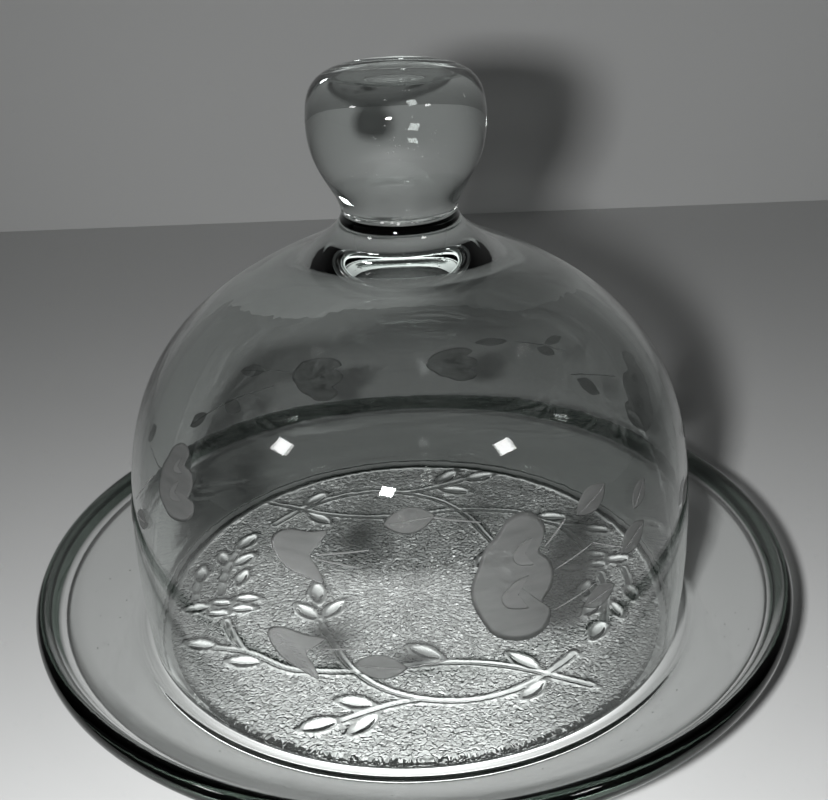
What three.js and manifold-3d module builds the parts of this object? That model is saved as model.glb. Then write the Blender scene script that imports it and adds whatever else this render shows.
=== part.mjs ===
// Glass cheese dome: a hand-blown bell with a solid glass knob, standing in the seat ring of a
// pressed-glass serving plate. Millimetres, +Z up, origin on the table at the plate's centre.
import * as THREE from 'three';
import { mergeVertices } from 'three/addons/utils/BufferGeometryUtils.js';
import Module from 'manifold-3d';

const wasm = await Module();
wasm.setup();

// Plate
const PLATE_RADIUS = 125;      // outside of the lip
const PLATE_HEIGHT = 21;       // table to the top of the lip
const LIP_CREST_RADIUS = 120.8; // top of the rolled lip
const LIP_INNER_RADIUS = 116.4; // foot of the lip's inner slope
const FLOOR_TOP = 5.4;         // cutting surface
const PATTERN_CEILING = 1.6;   // underside of the floor, inside the foot ring
const PATTERN_RADIUS = 84.7;   // edge of the patterned field
const FOOT_INNER_RADIUS = 86.8;
const FOOT_OUTER_RADIUS = 91.2;
const SEAT_FLOOR = 4.5;        // groove that the bell's rim stands in
const SEAT_INNER_RADIUS = 86;
const SEAT_OUTER_RADIUS = 92;

// Vine relief, pressed into the underside of the floor
const LEAF_LENGTH = 9.5;
const LEAF_DEPTH = 0.95;
const STEM_RADIUS = 0.65;

// Bell
const BELL_BASE_Z = 4.8;       // rim, clear of the seat floor
const BELL_BASE_RADIUS = 89.6;
const BELL_WIDEST_RADIUS = 90.7;
const WALL = 2.7;
const CROWN_INNER_Z = 127;     // top of the hollow, under the solid crown

// Knob
const NECK_RADIUS = 17.4;
const NECK_Z = 142;            // weld between the bell's crown and the knob
const WELD_GAP = 0.3;
const KNOB_RADIUS = 26.3;
const KNOB_TOP_Z = 182.8;

const RING_SEGMENTS = 72;

const glass = (color, roughness) => new THREE.MeshStandardMaterial({
  color, roughness, metalness: 0, transparent: true, opacity: 0.35,
});

const at = (radius, height) => new THREE.Vector2(radius, height);

// Smooth line through the given section points, resampled evenly.
const smooth = (points, count) => new THREE.SplineCurve(points).getSpacedPoints(count);

const revolve = (section, segments = RING_SEGMENTS) =>
  new THREE.LatheGeometry(section, segments).rotateX(Math.PI / 2);

function solid(geometry) {
  const g = geometry.clone();
  g.deleteAttribute('normal');
  g.deleteAttribute('uv');
  const merged = mergeVertices(g, 1e-4);
  return new wasm.Manifold(new wasm.Mesh({
    numProp: 3,
    vertProperties: new Float32Array(merged.attributes.position.array),
    triVerts: new Uint32Array(merged.index.array),
  }));
}

function toGeometry(manifold) {
  const mesh = manifold.getMesh();
  const g = new THREE.BufferGeometry();
  g.setAttribute('position', new THREE.BufferAttribute(new Float32Array(mesh.vertProperties), 3));
  g.setIndex(new THREE.BufferAttribute(new Uint32Array(mesh.triVerts), 1));
  g.computeVertexNormals();
  return g;
}

// The plate's section, from the underside's centre round the lip and back along the top.
function plateSection() {
  const foot = [
    at(0, PATTERN_CEILING), at(PATTERN_RADIUS, PATTERN_CEILING), at(PATTERN_RADIUS + 1, 0.7),
    at(FOOT_INNER_RADIUS, 0), at(FOOT_OUTER_RADIUS, 0), at(FOOT_OUTER_RADIUS + 1.6, 0.5),
  ];
  const underFlange = smooth([
    at(FOOT_OUTER_RADIUS + 3.4, 2), at(101, 4.6), at(110, 8), at(117, 10.8), at(121.4, 12.8), at(124, 14.6),
  ], 6);
  const lip = smooth([
    at(PLATE_RADIUS, 16.8), at(124.6, 18.9), at(123.2, 20.4), at(LIP_CREST_RADIUS, PLATE_HEIGHT),
    at(119, 20.1), at(117.7, 17.8), at(LIP_INNER_RADIUS, 15.8),
  ], 9);
  const flange = smooth([
    at(113, 13.9), at(104, 10.5), at(97, 8.1), at(SEAT_OUTER_RADIUS + 2.4, 7.2),
    at(SEAT_OUTER_RADIUS + 1.2, 6.2),
  ], 5);
  const seat = [
    at(SEAT_OUTER_RADIUS + 0.7, 5), at(SEAT_OUTER_RADIUS, SEAT_FLOOR), at(SEAT_INNER_RADIUS, SEAT_FLOOR),
    at(SEAT_INNER_RADIUS - 0.9, 5.1), at(SEAT_INNER_RADIUS - 1.8, FLOOR_TOP), at(0, FLOOR_TOP),
  ];
  return [...foot, ...underFlange, ...lip, ...flange, ...seat];
}

// An almond leaf lying under the floor: a pointed spindle, flattened, centred in the underside plane.
function leaf(x, y, headingDeg, length = LEAF_LENGTH, width = length * 0.4) {
  const half = Array.from({ length: 7 }, (_, i) => {
    const t = i / 6;
    return at((width / 2) * Math.sin(Math.PI * t) ** 0.85, (t - 0.5) * length);
  });
  half[0].x = 0;
  half[6].x = 0;
  return new THREE.LatheGeometry(half, 6)
    .rotateZ(THREE.MathUtils.degToRad(headingDeg - 90))
    .scale(1, 1, (2 * LEAF_DEPTH) / width)
    .translate(x, y, PATTERN_CEILING);
}

// A stem: a half-sunk bead swept along a smooth line through the given floor points.
function stem(...points) {
  const path = new THREE.CatmullRomCurve3(
    points.map(([x, y]) => new THREE.Vector3(x, y, PATTERN_CEILING)),
  );
  const bead = new THREE.Shape();
  bead.absarc(0, 0, STEM_RADIUS, 0, Math.PI * 2);
  const steps = Math.max(3, Math.round(path.getLength() / 7));
  return new THREE.ExtrudeGeometry(bead, { steps, curveSegments: 3, extrudePath: path, bevelEnabled: false });
}

// One half of the moulded vine; the other half is the same turned by 180 degrees.
function vineHalf() {
  const lowerVine = [
    stem([-65, -31.5], [-54, -34.5], [-47, -39], [-40, -43.5], [-31, -45.5], [-18.5, -46.5],
      [-4, -45], [8, -44], [23, -45.2], [35, -48.5], [41, -51], [54, -57]),
    leaf(-69.6, -29.4, 165, 9.7),
    leaf(-54.2, -39, 172, 10.4),
    leaf(3.6, -38.2, 147, 11.6),
  ];
  const longVine = [
    stem([-31.5, -19], [-30, -24], [-27, -31], [-23, -40], [-18.5, -47], [-10, -55], [2, -60.5],
      [13, -62], [25, -60], [34, -56], [41, -51], [51, -41.5]),
    leaf(34.5, -44.6, 138, 11.2),
    leaf(36, -57.8, 47, 10.8),
  ];
  const trefoil = [
    leaf(-32.8, -3.5, 97, 11), leaf(-36, -14, 131, 10.6), leaf(-26.8, -13.2, 58, 10.4),
  ];
  const frontSprig = [
    stem([-22, -68.5], [-13, -64.5], [-5, -61.8], [2, -60.5]),
    leaf(-18.3, -60.8, 165, 10.9), leaf(-28.8, -70, 17, 11.4), leaf(-15.6, -70.6, 48, 11),
  ];
  const sideSprig = [
    stem([-63, -17.5], [-59.5, -26], [-55, -34]),
    stem([-66.5, -2], [-66.5, 6], [-65.5, 15], [-63, 25]),
    stem([-75, -4.5], [-75.6, 1], [-75.4, 6]),
    leaf(-60.4, 30.2, 58, 10.5), leaf(-68.2, 19.6, 105, 8), leaf(-60.6, 18.5, 47, 9),
    leaf(-75.2, 10.2, 88, 8.8), leaf(-60, 7.3, 75, 8.4),
  ];
  const budCluster = [
    leaf(-57, -5.2, 0, 7.8), leaf(-58, -10.9, -2, 8), leaf(-65.7, -7.2, 0, 6.8),
    leaf(-66.2, -13.1, -3, 6.8), leaf(-73.8, -9.8, 10, 8.6),
  ];
  return [...lowerVine, ...longVine, ...trefoil, ...frontSprig, ...sideSprig, ...budCluster];
}

// The dished plate: revolved section with the vine standing proud of its recessed underside.
function plate() {
  const half = vineHalf();
  const turned = half.map((piece) => piece.clone().rotateZ(Math.PI));
  let body = solid(revolve(plateSection()));
  for (const piece of [...half, ...turned]) body = body.add(solid(piece));
  const mesh = new THREE.Mesh(toGeometry(body), glass(0xb9c4be, 0.06));
  mesh.name = 'plate';
  return mesh;
}

// Outside of the bell, from the fire-polished rim over the shoulder to the weld.
function bellOutside() {
  const wall = smooth([
    at(BELL_BASE_RADIUS, BELL_BASE_Z + 1.2), at(90.4, 20), at(BELL_WIDEST_RADIUS, 36), at(89.8, 54),
    at(87.1, 72), at(80.6, 89.5), at(68.8, 104.8), at(53, 116.9), at(39, 124.8), at(27.8, 130.6),
    at(21, 135.6), at(18.2, 139.2),
  ], 20);
  return [...wall, at(NECK_RADIUS, NECK_Z)];
}

// Hollow of the bell, from the crown down to the rim.
function bellInside() {
  return smooth([
    at(0, CROWN_INNER_Z), at(12, CROWN_INNER_Z - 0.8), at(26, 123.6), at(38, 119.8), at(51.6, 113.8),
    at(66.4, 103), at(77.9, 88.2), at(84.3, 71.2), at(87, 53.6), at(87.9, 36), at(87.7, 20),
    at(87, BELL_BASE_Z + 1.2),
  ], 17);
}

function bell() {
  const rim = [at(BELL_BASE_RADIUS - WALL + 0.7, BELL_BASE_Z), at(BELL_BASE_RADIUS - 0.7, BELL_BASE_Z)];
  const section = [...bellInside(), ...rim, ...bellOutside(), at(0, NECK_Z)];
  const mesh = new THREE.Mesh(revolve(section, 64), glass(0xc8d2cf, 0.04));
  mesh.name = 'dome_bell';
  return mesh;
}

// The applied knob: a flattened ball, fullest in its upper third, drawn in to the weld.
function knob() {
  const foot = NECK_Z + WELD_GAP;
  const side = smooth([
    at(NECK_RADIUS, foot), at(18.1, 145), at(20.2, 149.2), at(23.2, 154.6), at(25.4, 160.5),
    at(KNOB_RADIUS, 167.2), at(26, 173.2), at(24.4, 178.4), at(20.6, 181.8), at(14, 182.9), at(0, KNOB_TOP_Z),
  ], 18);
  const mesh = new THREE.Mesh(revolve([at(0, foot), ...side], 40), glass(0xc8d2cf, 0.03));
  mesh.name = 'knob';
  return mesh;
}

const lid = new THREE.Group();
lid.add(bell(), knob());

const cheeseDome = new THREE.Group();
cheeseDome.add(plate(), lid);

export default cheeseDome;
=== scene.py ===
"""Looks of a glass cheese dome: a blown bell with a solid knob, standing on a pressed plate.

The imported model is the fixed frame. The plate and the lid are rebuilt here as fine closed glass
surfaces worked out with numpy; the engraving and the air bubbles are pieces of their own.
Lengths in the classes are millimetres unless a name says otherwise; meshes are written in metres.
"""
import logging
import math
from dataclasses import dataclass
from enum import Enum

import bpy
import numpy as np
from mathutils import Matrix, Vector


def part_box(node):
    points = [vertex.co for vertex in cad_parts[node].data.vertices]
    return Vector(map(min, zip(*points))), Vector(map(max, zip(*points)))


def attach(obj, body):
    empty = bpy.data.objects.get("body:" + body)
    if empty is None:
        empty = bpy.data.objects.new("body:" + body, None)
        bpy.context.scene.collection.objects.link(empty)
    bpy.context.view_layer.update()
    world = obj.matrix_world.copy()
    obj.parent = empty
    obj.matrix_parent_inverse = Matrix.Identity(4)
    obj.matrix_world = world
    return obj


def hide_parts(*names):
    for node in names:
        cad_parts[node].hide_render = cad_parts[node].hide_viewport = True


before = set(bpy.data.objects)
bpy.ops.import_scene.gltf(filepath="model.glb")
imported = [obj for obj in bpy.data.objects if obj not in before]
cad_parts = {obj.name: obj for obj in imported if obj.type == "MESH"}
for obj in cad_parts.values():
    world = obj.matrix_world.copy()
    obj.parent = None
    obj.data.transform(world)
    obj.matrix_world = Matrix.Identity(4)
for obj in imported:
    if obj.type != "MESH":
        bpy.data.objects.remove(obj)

MM = 0.001
TURN = 2.0 * math.pi
FAR = 99.0  # millimetres; farther than any stem or leaf
LEAST_PASSED = 0.02  # share of lamp light that still passes the darkest glass
BUBBLE_LEVELS = 9  # from pole to pole, both counted
BUBBLE_SIDES = 12

log = logging.getLogger("cheese_dome")


# ----------------------------------------------------------------------------- shapes


def smoothstep(low: float, high: float, value: np.ndarray) -> np.ndarray:
    """0 below low, 1 above high, and 3t^2 - 2t^3 between them."""
    t = np.clip((value - low) / (high - low), 0.0, 1.0)
    return t * t * (3.0 - 2.0 * t)


def fair_curve(knots: np.ndarray, count: int, from_axis: bool = False, to_axis: bool = False) -> np.ndarray:
    """A line with continuous curvature through section knots.

    The coordinates are natural cubic splines over the chord length: between two knots each is a
    cubic, and its second derivatives solve a tridiagonal system. An end that lies on the axis is
    mirrored across it first, so that the revolved surface is flat there.

    Args:
        knots: (n, 2) radii and heights, or positions.
        count: how many points to give back.
        from_axis: the first knot lies on the axis of revolution.
        to_axis: the last knot lies on the axis of revolution.

    Returns:
        (count, 2) points spaced evenly by chord length.
    """
    mirror = np.array([-1.0, 1.0])
    head = knots[1:4][::-1] * mirror if from_axis else knots[:0]
    tail = knots[-4:-1][::-1] * mirror if to_axis else knots[:0]
    pts = np.vstack([head, knots, tail])
    step = np.linalg.norm(np.diff(pts, axis=0), axis=1)
    t = np.concatenate([[0.0], np.cumsum(step)])
    n = len(pts)
    system = np.eye(n)
    inner = np.arange(1, n - 1)
    system[inner, inner - 1] = step[:-1] / 6.0
    system[inner, inner] = (step[:-1] + step[1:]) / 3.0
    system[inner, inner + 1] = step[1:] / 6.0
    slope = np.diff(pts, axis=0) / step[:, None]
    load = np.zeros_like(pts)
    load[1:-1] = np.diff(slope, axis=0)
    bend = np.linalg.solve(system, load)
    at = np.linspace(t[len(head)], t[n - 1 - len(tail)], count)
    k = np.clip(np.searchsorted(t, at, side="right") - 1, 0, n - 2)
    h, a, b = step[k, None], (t[k + 1] - at)[:, None], (at - t[k])[:, None]
    return (
        bend[k] * a**3 / (6.0 * h) + bend[k + 1] * b**3 / (6.0 * h)
        + (pts[k] / h - bend[k] * h / 6.0) * a + (pts[k + 1] / h - bend[k + 1] * h / 6.0) * b
    )


def closed_outline(knots: np.ndarray, count: int) -> np.ndarray:
    """A fair closed curve: the middle turn of a fair curve that runs three times round the knots."""
    thrice = np.vstack([knots, knots, knots, knots[:1]])
    n = len(knots)
    step = np.linalg.norm(np.diff(thrice, axis=0), axis=1)
    t = np.concatenate([[0.0], np.cumsum(step)])
    line = fair_curve(thrice, 60 * n)
    at = np.linspace(0.0, t[-1], 60 * n)
    wanted = np.linspace(t[n], t[2 * n], count, endpoint=False)
    return np.column_stack([np.interp(wanted, at, line[:, k]) for k in range(2)])


def arc(centre: tuple[float, float], radius: float, start: float, end: float, count: int) -> np.ndarray:
    """Points of a circular arc in the section plane, angles in degrees from the outward radius."""
    a = np.radians(np.linspace(start, end, count))
    return np.column_stack([centre[0] + radius * np.cos(a), centre[1] + radius * np.sin(a)])


def revolve(section: np.ndarray, segments: int) -> np.ndarray:
    """Rings of a surface of revolution: the point at (r, z) turned by angle a is (r cos a, r sin a, z)."""
    a = np.arange(segments) * TURN / segments
    r, z = section[:, :1], section[:, 1:]
    return np.stack([r * np.cos(a), r * np.sin(a), np.broadcast_to(z, (len(section), segments))], axis=-1)


class Shells:
    """Closed bodies that share one mesh; each is a stack of rings with a point closing each end."""

    def __init__(self) -> None:
        """Starts with no bodies."""
        self.points: list[np.ndarray] = []
        self.quads: list[np.ndarray] = []
        self.caps: list[np.ndarray] = []
        self.masks: dict[str, list[np.ndarray]] = {}
        self.count = 0

    def add(self, rings: np.ndarray, first: np.ndarray, last: np.ndarray, **masks: np.ndarray) -> None:
        """Adds one body.

        The rings run from the first point outwards and up, so that with angles counted
        anticlockwise every face looks outwards.

        Args:
            rings: (rows, segments, 3) positions in millimetres.
            first: the point that closes the first ring.
            last: the point that closes the last ring.
            masks: (rows, segments) values kept with the ring points as named point attributes.
        """
        rows, segments = rings.shape[:2]
        grid = self.count + np.arange(rows * segments).reshape(rows, segments)
        beside = np.roll(grid, -1, axis=1)
        pole_a, pole_b = self.count + rows * segments, self.count + rows * segments + 1
        self.points.append(np.vstack([rings.reshape(-1, 3), first, last]))
        self.quads.append(np.stack([grid[:-1], beside[:-1], beside[1:], grid[1:]], axis=-1).reshape(-1, 4))
        low = np.column_stack([np.full(segments, pole_a), beside[0], grid[0]])
        high = np.column_stack([np.full(segments, pole_b), grid[-1], beside[-1]])
        self.caps.append(np.vstack([low, high]))
        for name, values in masks.items():
            ends = [values[0].mean(), values[-1].mean()]
            self.masks.setdefault(name, []).append(np.concatenate([values.ravel(), ends]))
        self.count = pole_b + 1

    def mesh_object(self, name: str, material: bpy.types.Material) -> bpy.types.Object:
        """Writes the bodies as one smooth mesh object at the origin.

        Args:
            name: name of the object and its mesh.
            material: finish of every face.

        Returns:
            The object, linked into the scene.
        """
        points = np.vstack(self.points) * MM
        quads, caps = np.vstack(self.quads), np.vstack(self.caps)
        mesh = bpy.data.meshes.new(name)
        mesh.vertices.add(len(points))
        mesh.vertices.foreach_set("co", points.astype(np.float32).ravel())
        mesh.loops.add(quads.size + caps.size)
        mesh.loops.foreach_set("vertex_index", np.concatenate([quads.ravel(), caps.ravel()]).astype(np.int32))
        starts = np.concatenate([np.arange(len(quads)) * 4, quads.size + np.arange(len(caps)) * 3])
        mesh.polygons.add(len(starts))
        mesh.polygons.foreach_set("loop_start", starts.astype(np.int32))
        mesh.polygons.foreach_set("use_smooth", np.ones(len(starts), dtype=bool))
        mesh.update(calc_edges=True)
        for mask_name, values in self.masks.items():
            layer = mesh.attributes.new(mask_name, "FLOAT", "POINT")
            layer.data.foreach_set("value", np.concatenate(values).astype(np.float32))
        mesh.validate()
        mesh.materials.append(material)
        obj = bpy.data.objects.new(name, mesh)
        bpy.context.scene.collection.objects.link(obj)
        return obj


def add_bubble(shells: Shells, centre: np.ndarray, size: float, flatness: float) -> None:
    """Adds a bubble: a ball of the given radius, its height multiplied by flatness."""
    lat = np.radians(np.linspace(-90, 90, BUBBLE_LEVELS))[1:-1]
    ball = revolve(np.column_stack([np.cos(lat), np.sin(lat)]), BUBBLE_SIDES)
    stretch = np.array([size, size, size * flatness])
    tip = np.array([0.0, 0.0, stretch[2]])
    shells.add(centre + ball * stretch, centre - tip, centre + tip)


# ----------------------------------------------------------------------------- finishes


def new_material(name: str) -> tuple[bpy.types.Material, bpy.types.Nodes, bpy.types.NodeLinks]:
    """A new material with its nodes and its links."""
    mat = bpy.data.materials.new(name)
    mat.use_nodes = True
    return mat, mat.node_tree.nodes, mat.node_tree.links


def stand_in_for_shadow(nodes: bpy.types.Nodes, links: bpy.types.NodeLinks,
                        skin: bpy.types.Node, out: bpy.types.Node) -> bpy.types.Node:
    """Lets lamp light fall through: shadow rays meet a Transparent shader instead of the skin.

    Args:
        nodes: nodes of the material.
        links: links of the material.
        skin: the shader that every other ray meets.
        out: the material's output.

    Returns:
        The Transparent shader, whose colour is the light passed.
    """
    lamp, through, choose = (
        nodes.new("ShaderNodeLightPath"), nodes.new("ShaderNodeBsdfTransparent"),
        nodes.new("ShaderNodeMixShader"),
    )
    links.new(lamp.outputs["Is Shadow Ray"], choose.inputs[0])
    links.new(skin.outputs[0], choose.inputs[1])
    links.new(through.outputs[0], choose.inputs[2])
    links.new(choose.outputs[0], out.inputs["Surface"])
    return through


def handmade_ripple() -> bpy.types.ShaderNodeTree:
    """Group: the faint cords and ripples that hot glass keeps, as a height.

    Two noises of different size are added, the finer one scaled by Fine.

    Returns:
        The node group, made once.
    """
    if "handmade_ripple" in bpy.data.node_groups:
        return bpy.data.node_groups["handmade_ripple"]
    group = bpy.data.node_groups.new("handmade_ripple", "ShaderNodeTree")
    group.interface.new_socket("Vector", in_out="INPUT", socket_type="NodeSocketVector")
    group.interface.new_socket("Scale", in_out="INPUT", socket_type="NodeSocketFloat")
    group.interface.new_socket("Fine", in_out="INPUT", socket_type="NodeSocketFloat")
    group.interface.new_socket("Height", in_out="OUTPUT", socket_type="NodeSocketFloat")
    nodes, links = group.nodes, group.links
    entry, leave = nodes.new("NodeGroupInput"), nodes.new("NodeGroupOutput")
    broad, fine = nodes.new("ShaderNodeTexNoise"), nodes.new("ShaderNodeTexNoise")
    broad.inputs["Detail"].default_value = 1.0
    fine.inputs["Detail"].default_value = 2.0
    ratio, weigh, total = (nodes.new("ShaderNodeMath") for _ in range(3))
    ratio.operation, weigh.operation, total.operation = "MULTIPLY", "MULTIPLY", "ADD"
    ratio.inputs[1].default_value = 9.0
    for noise in (broad, fine):
        links.new(entry.outputs["Vector"], noise.inputs["Vector"])
    links.new(entry.outputs["Scale"], broad.inputs["Scale"])
    links.new(entry.outputs["Scale"], ratio.inputs[0])
    links.new(ratio.outputs[0], fine.inputs["Scale"])
    links.new(fine.outputs["Fac"], weigh.inputs[0])
    links.new(entry.outputs["Fine"], weigh.inputs[1])
    links.new(broad.outputs["Fac"], total.inputs[0])
    links.new(weigh.outputs[0], total.inputs[1])
    links.new(total.outputs[0], leave.inputs["Height"])
    return group


class ShadowStyle(Enum):
    """Share of lamp light passed where the lamp grazes the surface, and where it is square on.

    The relief's share is a steep line that runs past 0 and 1: a small slope there already gathers
    light or turns it away.
    """

    CLEAR = (0.2, 0.82)
    PRESSED = (0.6, 0.95)
    RELIEF = (-8.6, 8.4)
    THICK = (0.0, 0.38)
    RIM = (0.9, 0.95)


@dataclass(frozen=True)
class Glass:
    """A clear glass: colour in the thickness, surface ripple, and how its shadow falls.

    The mesh carries point attributes: "thick" where the glass is thick; on blown glass "rim" for
    its fire-polished edge; on pressed glass "field" where the relief lies, "pebble" where it is
    pebbled, "edge" for the lip, which gets painted shade, and "gather" for how much the relief
    gathers the light.

    The stand-in for shadow passes most light where the lamp sees the surface square on and less
    where the light only grazes it, which draws the dark outline that the shadow of real glass has.
    """

    name: str
    body_colour: tuple[float, float, float]
    density: float
    ripple_scale: float
    ripple_fine: float
    ripple_height: float
    shadow: ShadowStyle
    index: float = 1.5
    roughness: float = 0.0
    pebbled: bool = False
    pebble_scale: float = 700.0
    pebble_height: float = 0.0009
    square_until: float = 0.35
    # near-black green of the lip: painted shade for the darkness seen through thick glass, over its own green
    lip_painted_shade_colour: tuple[float, float, float] = (0.02, 0.031, 0.024)
    tint: tuple[float, float, float] = (1.0, 1.0, 1.0)

    def material(self) -> bpy.types.Material:
        """Builds the material.

        Returns:
            A new material with this finish.
        """
        mat, nodes, links = new_material(self.name)
        nodes.clear()
        out = nodes.new("ShaderNodeOutputMaterial")
        glass = nodes.new("ShaderNodeBsdfPrincipled")
        glass.inputs["Base Color"].default_value = (*self.tint, 1.0)
        glass.inputs["Transmission Weight"].default_value = 1.0
        glass.inputs["Roughness"].default_value = self.roughness
        glass.inputs["IOR"].default_value = self.index
        absorb = nodes.new("ShaderNodeVolumeAbsorption")
        absorb.inputs["Color"].default_value = (*self.body_colour, 1.0)
        absorb.inputs["Density"].default_value = self.density
        links.new(absorb.outputs[0], out.inputs["Volume"])
        if self.pebbled:
            self._add_lip_painted_shade(nodes, links, glass)
        normal = self._surface(nodes, links)
        links.new(normal, glass.inputs["Normal"])
        facing, pass_light = nodes.new("ShaderNodeLayerWeight"), nodes.new("ShaderNodeMapRange")
        facing.inputs["Blend"].default_value = 0.5
        links.new(normal, facing.inputs["Normal"])
        grazing, square = self.shadow.value
        pass_light.inputs["From Min"].default_value = self.square_until
        pass_light.inputs["To Min"].default_value = square
        pass_light.inputs["To Max"].default_value = grazing
        turned = facing.outputs["Facing"]
        links.new(turned, pass_light.inputs["Value"])
        passed = self._passed(nodes, links, turned, pass_light.outputs[0], "thick", ShadowStyle.THICK)
        if self.pebbled:
            passed = self._passed(nodes, links, turned, passed, "field", ShadowStyle.RELIEF, "gather")
        else:
            passed = self._passed(nodes, links, turned, passed, "rim", ShadowStyle.RIM)
        through = stand_in_for_shadow(nodes, links, glass, out)
        links.new(passed, through.inputs["Color"])
        return mat

    def _passed(self, nodes: bpy.types.Nodes, links: bpy.types.NodeLinks, facing: bpy.types.NodeSocket,
                plain: bpy.types.NodeSocket, mask_name: str, style: ShadowStyle,
                gain_name: str = "") -> bpy.types.NodeSocket:
        """Adds a part of the surface that passes lamp light in its own way.

        Thick glass scatters most of it; the slopes of the relief gather it or turn it away.

        Args:
            nodes: nodes of the material.
            links: links of the material.
            facing: how far the surface turns from the lamp.
            plain: light passed elsewhere.
            mask_name: point attribute that is 1 on this part.
            style: how the part passes light.
            gain_name: point attribute that multiplies the light passed, if any.

        Returns:
            The light passed.
        """
        share, mask, mix, floor = (
            nodes.new("ShaderNodeMapRange"), nodes.new("ShaderNodeAttribute"), nodes.new("ShaderNodeMix"),
            nodes.new("ShaderNodeMath"),
        )
        share.clamp = False
        share.inputs["To Max"].default_value, share.inputs["To Min"].default_value = style.value
        floor.operation = "MAXIMUM"
        floor.inputs[1].default_value = LEAST_PASSED
        mask.attribute_name = mask_name
        links.new(facing, share.inputs["Value"])
        links.new(share.outputs[0], floor.inputs[0])
        links.new(mask.outputs["Fac"], mix.inputs[0])
        links.new(plain, mix.inputs[2])
        part = floor.outputs[0]
        if gain_name:
            gain, gathered = nodes.new("ShaderNodeAttribute"), nodes.new("ShaderNodeMath")
            gain.attribute_name = gain_name
            gathered.operation = "MULTIPLY"
            links.new(part, gathered.inputs[0])
            links.new(gain.outputs["Fac"], gathered.inputs[1])
            part = gathered.outputs[0]
        links.new(part, mix.inputs[3])
        return mix.outputs[0]

    def _add_lip_painted_shade(self, nodes: bpy.types.Nodes, links: bpy.types.NodeLinks, glass: bpy.types.Node) -> None:
        """Adds painted shade to the rolled lip, streaked along the roll: a near-black green base colour
        that stands in for the darkness seen through the thick lip, over the glass's own green.

        Args:
            nodes: nodes of the material.
            links: links of the material.
            glass: the glass shader.
        """
        place, streak, tint, mask, mix = (
            nodes.new("ShaderNodeTexCoord"), nodes.new("ShaderNodeTexNoise"), nodes.new("ShaderNodeValToRGB"),
            nodes.new("ShaderNodeAttribute"), nodes.new("ShaderNodeMix"),
        )
        streak.inputs["Scale"].default_value = 45.0
        streak.inputs["Detail"].default_value = 3.0
        # darker and paler streaks of the lip's painted shade
        lip_shade_dark, lip_shade_pale = (0.72 * c for c in self.lip_painted_shade_colour), (1.5 * c for c in self.lip_painted_shade_colour)
        tint.color_ramp.elements[0].position, tint.color_ramp.elements[1].position = 0.35, 0.7
        tint.color_ramp.elements[0].color = (*lip_shade_dark, 1.0)
        tint.color_ramp.elements[1].color = (*lip_shade_pale, 1.0)
        mask.attribute_name = "edge"
        mix.data_type = "RGBA"
        mix.inputs[6].default_value = (1.0, 1.0, 1.0, 1.0)
        links.new(place.outputs["Object"], streak.inputs["Vector"])
        links.new(streak.outputs["Fac"], tint.inputs["Fac"])
        links.new(mask.outputs["Fac"], mix.inputs[0])
        links.new(tint.outputs["Color"], mix.inputs[7])
        links.new(mix.outputs[2], glass.inputs["Base Color"])

    def _surface(self, nodes: bpy.types.Nodes, links: bpy.types.NodeLinks) -> bpy.types.NodeSocket:
        """Adds the ripple, and the fine pebble grain where the mask asks for it.

        Args:
            nodes: nodes of the material.
            links: links of the material.

        Returns:
            The normal for the shader.
        """
        place = nodes.new("ShaderNodeTexCoord")
        ripple = nodes.new("ShaderNodeGroup")
        ripple.node_tree = handmade_ripple()
        ripple.inputs["Scale"].default_value = self.ripple_scale
        ripple.inputs["Fine"].default_value = self.ripple_fine
        links.new(place.outputs["Object"], ripple.inputs["Vector"])
        bump = nodes.new("ShaderNodeBump")
        bump.inputs["Strength"].default_value = 1.0
        bump.inputs["Distance"].default_value = self.ripple_height
        links.new(ripple.outputs["Height"], bump.inputs["Height"])
        if not self.pebbled:
            return bump.outputs["Normal"]
        grain, mask, product = (
            nodes.new("ShaderNodeTexNoise"), nodes.new("ShaderNodeAttribute"), nodes.new("ShaderNodeMath"),
        )
        grain.inputs["Scale"].default_value = self.pebble_scale
        grain.inputs["Detail"].default_value = 1.5
        grain.inputs["Distortion"].default_value = 0.7
        mask.attribute_name = "pebble"
        product.operation = "MULTIPLY"
        links.new(place.outputs["Object"], grain.inputs["Vector"])
        links.new(grain.outputs["Fac"], product.inputs[0])
        links.new(mask.outputs["Fac"], product.inputs[1])
        pebble = nodes.new("ShaderNodeBump")
        pebble.inputs["Strength"].default_value = 1.0
        pebble.inputs["Distance"].default_value = self.pebble_height
        links.new(product.outputs[0], pebble.inputs["Height"])
        links.new(bump.outputs["Normal"], pebble.inputs["Normal"])
        return pebble.outputs["Normal"]


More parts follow.
